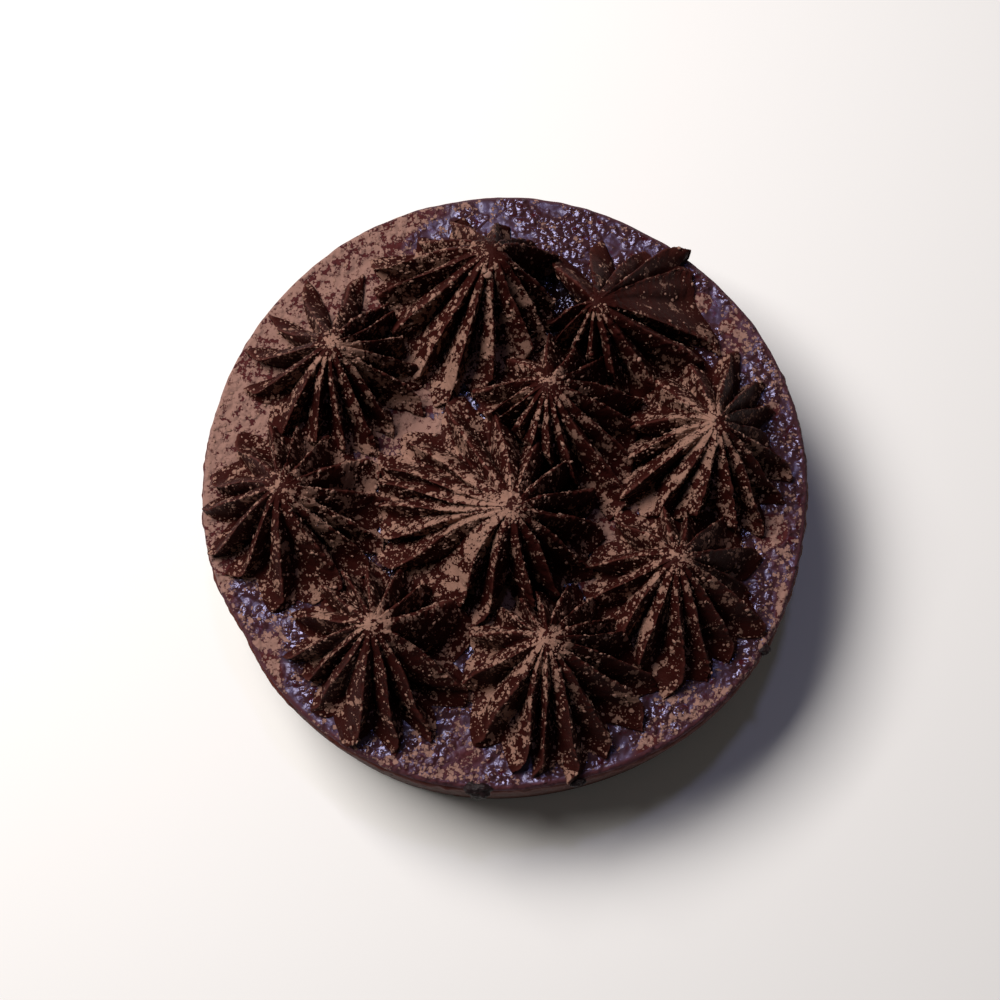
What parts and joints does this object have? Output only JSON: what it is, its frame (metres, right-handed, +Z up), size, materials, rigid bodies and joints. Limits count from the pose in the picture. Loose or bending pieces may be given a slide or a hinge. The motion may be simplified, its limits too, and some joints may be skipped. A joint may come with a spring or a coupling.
{
  "type": "chocolate cheesecake",
  "caption": "Round uncut chocolate cheesecake: low straight-sided body, glossy chocolate layer on top, and large fluted stars of piped chocolate cream dusted with cocoa.",
  "frame": {"origin": "centre of the cake's flat bottom, where it rests", "axes": "+Z up, +X to the right and +Y to the top of the picture, which looks down on the cake"},
  "size_m": [0.1548, 0.1548, 0.0673],
  "materials": {
    "baked_cake": "matt, slightly porous baked chocolate crumb",
    "glaze": "glossy, finely bumpy chocolate, dusted with cocoa",
    "piped_cream": "satin chocolate cream with torn crests, dusted with cocoa"
  },
  "bodies": {
    "root": {"cheesecake": "baked_cake", "chocolate_glaze": "glaze", "piped_star_01": "piped_cream", "piped_star_02": "piped_cream", "piped_star_03": "piped_cream", "piped_star_04": "piped_cream", "piped_star_05": "piped_cream", "piped_star_06": "piped_cream", "piped_star_07": "piped_cream", "piped_star_08": "piped_cream", "piped_star_09": "piped_cream", "piped_star_10": "piped_cream"}
  },
  "joints": []
}
